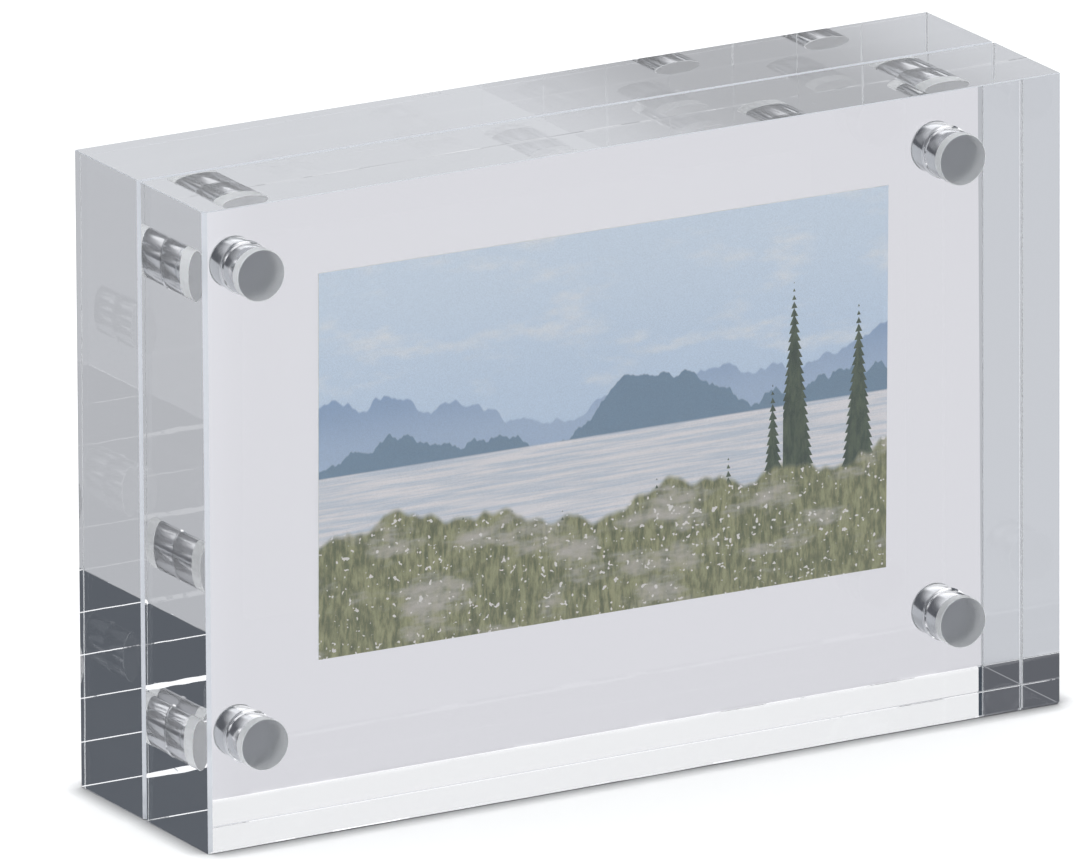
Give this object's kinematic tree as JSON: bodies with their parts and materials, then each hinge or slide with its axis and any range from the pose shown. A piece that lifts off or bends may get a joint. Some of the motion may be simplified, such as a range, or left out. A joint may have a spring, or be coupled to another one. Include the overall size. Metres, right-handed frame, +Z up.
{
  "type": "acrylic block picture frame",
  "caption": "Free-standing block picture frame: thick clear acrylic blocks held face to face by corner magnets, with a loose colour print clamped between them.",
  "frame": {"origin": "under the middle of the frame, on the surface that it stands on", "axes": "+X to the right seen from the front, +Y to the back, +Z up"},
  "size_m": [0.15, 0.04, 0.101],
  "materials": {
    "clear_acrylic": "clear cast acrylic, all faces polished, edges lightly bevelled",
    "nickel_plate": "bright nickel plating with bevelled rims",
    "photo_paper": "satin colour print on white photo paper, plain white back"
  },
  "bodies": {
    "rear": {"rear_block": "clear_acrylic", "rear_magnet_top_left": "nickel_plate", "rear_magnet_top_right": "nickel_plate", "rear_magnet_bottom_left": "nickel_plate", "rear_magnet_bottom_right": "nickel_plate"},
    "front": {"front_block": "clear_acrylic", "front_magnet_top_left": "nickel_plate", "front_magnet_top_right": "nickel_plate", "front_magnet_bottom_left": "nickel_plate", "front_magnet_bottom_right": "nickel_plate"},
    "print": {"photo_print": "photo_paper"}
  },
  "joints": [
    {"name": "front_pull", "type": "slide", "parent": "rear", "child": "front", "axis": [0, -1, 0], "range_m": [0, 0.06]},
    {"name": "print_lift", "type": "slide", "parent": "rear", "child": "print", "axis": [0, 0, 1], "range_m": [0, 0.085]}
  ]
}
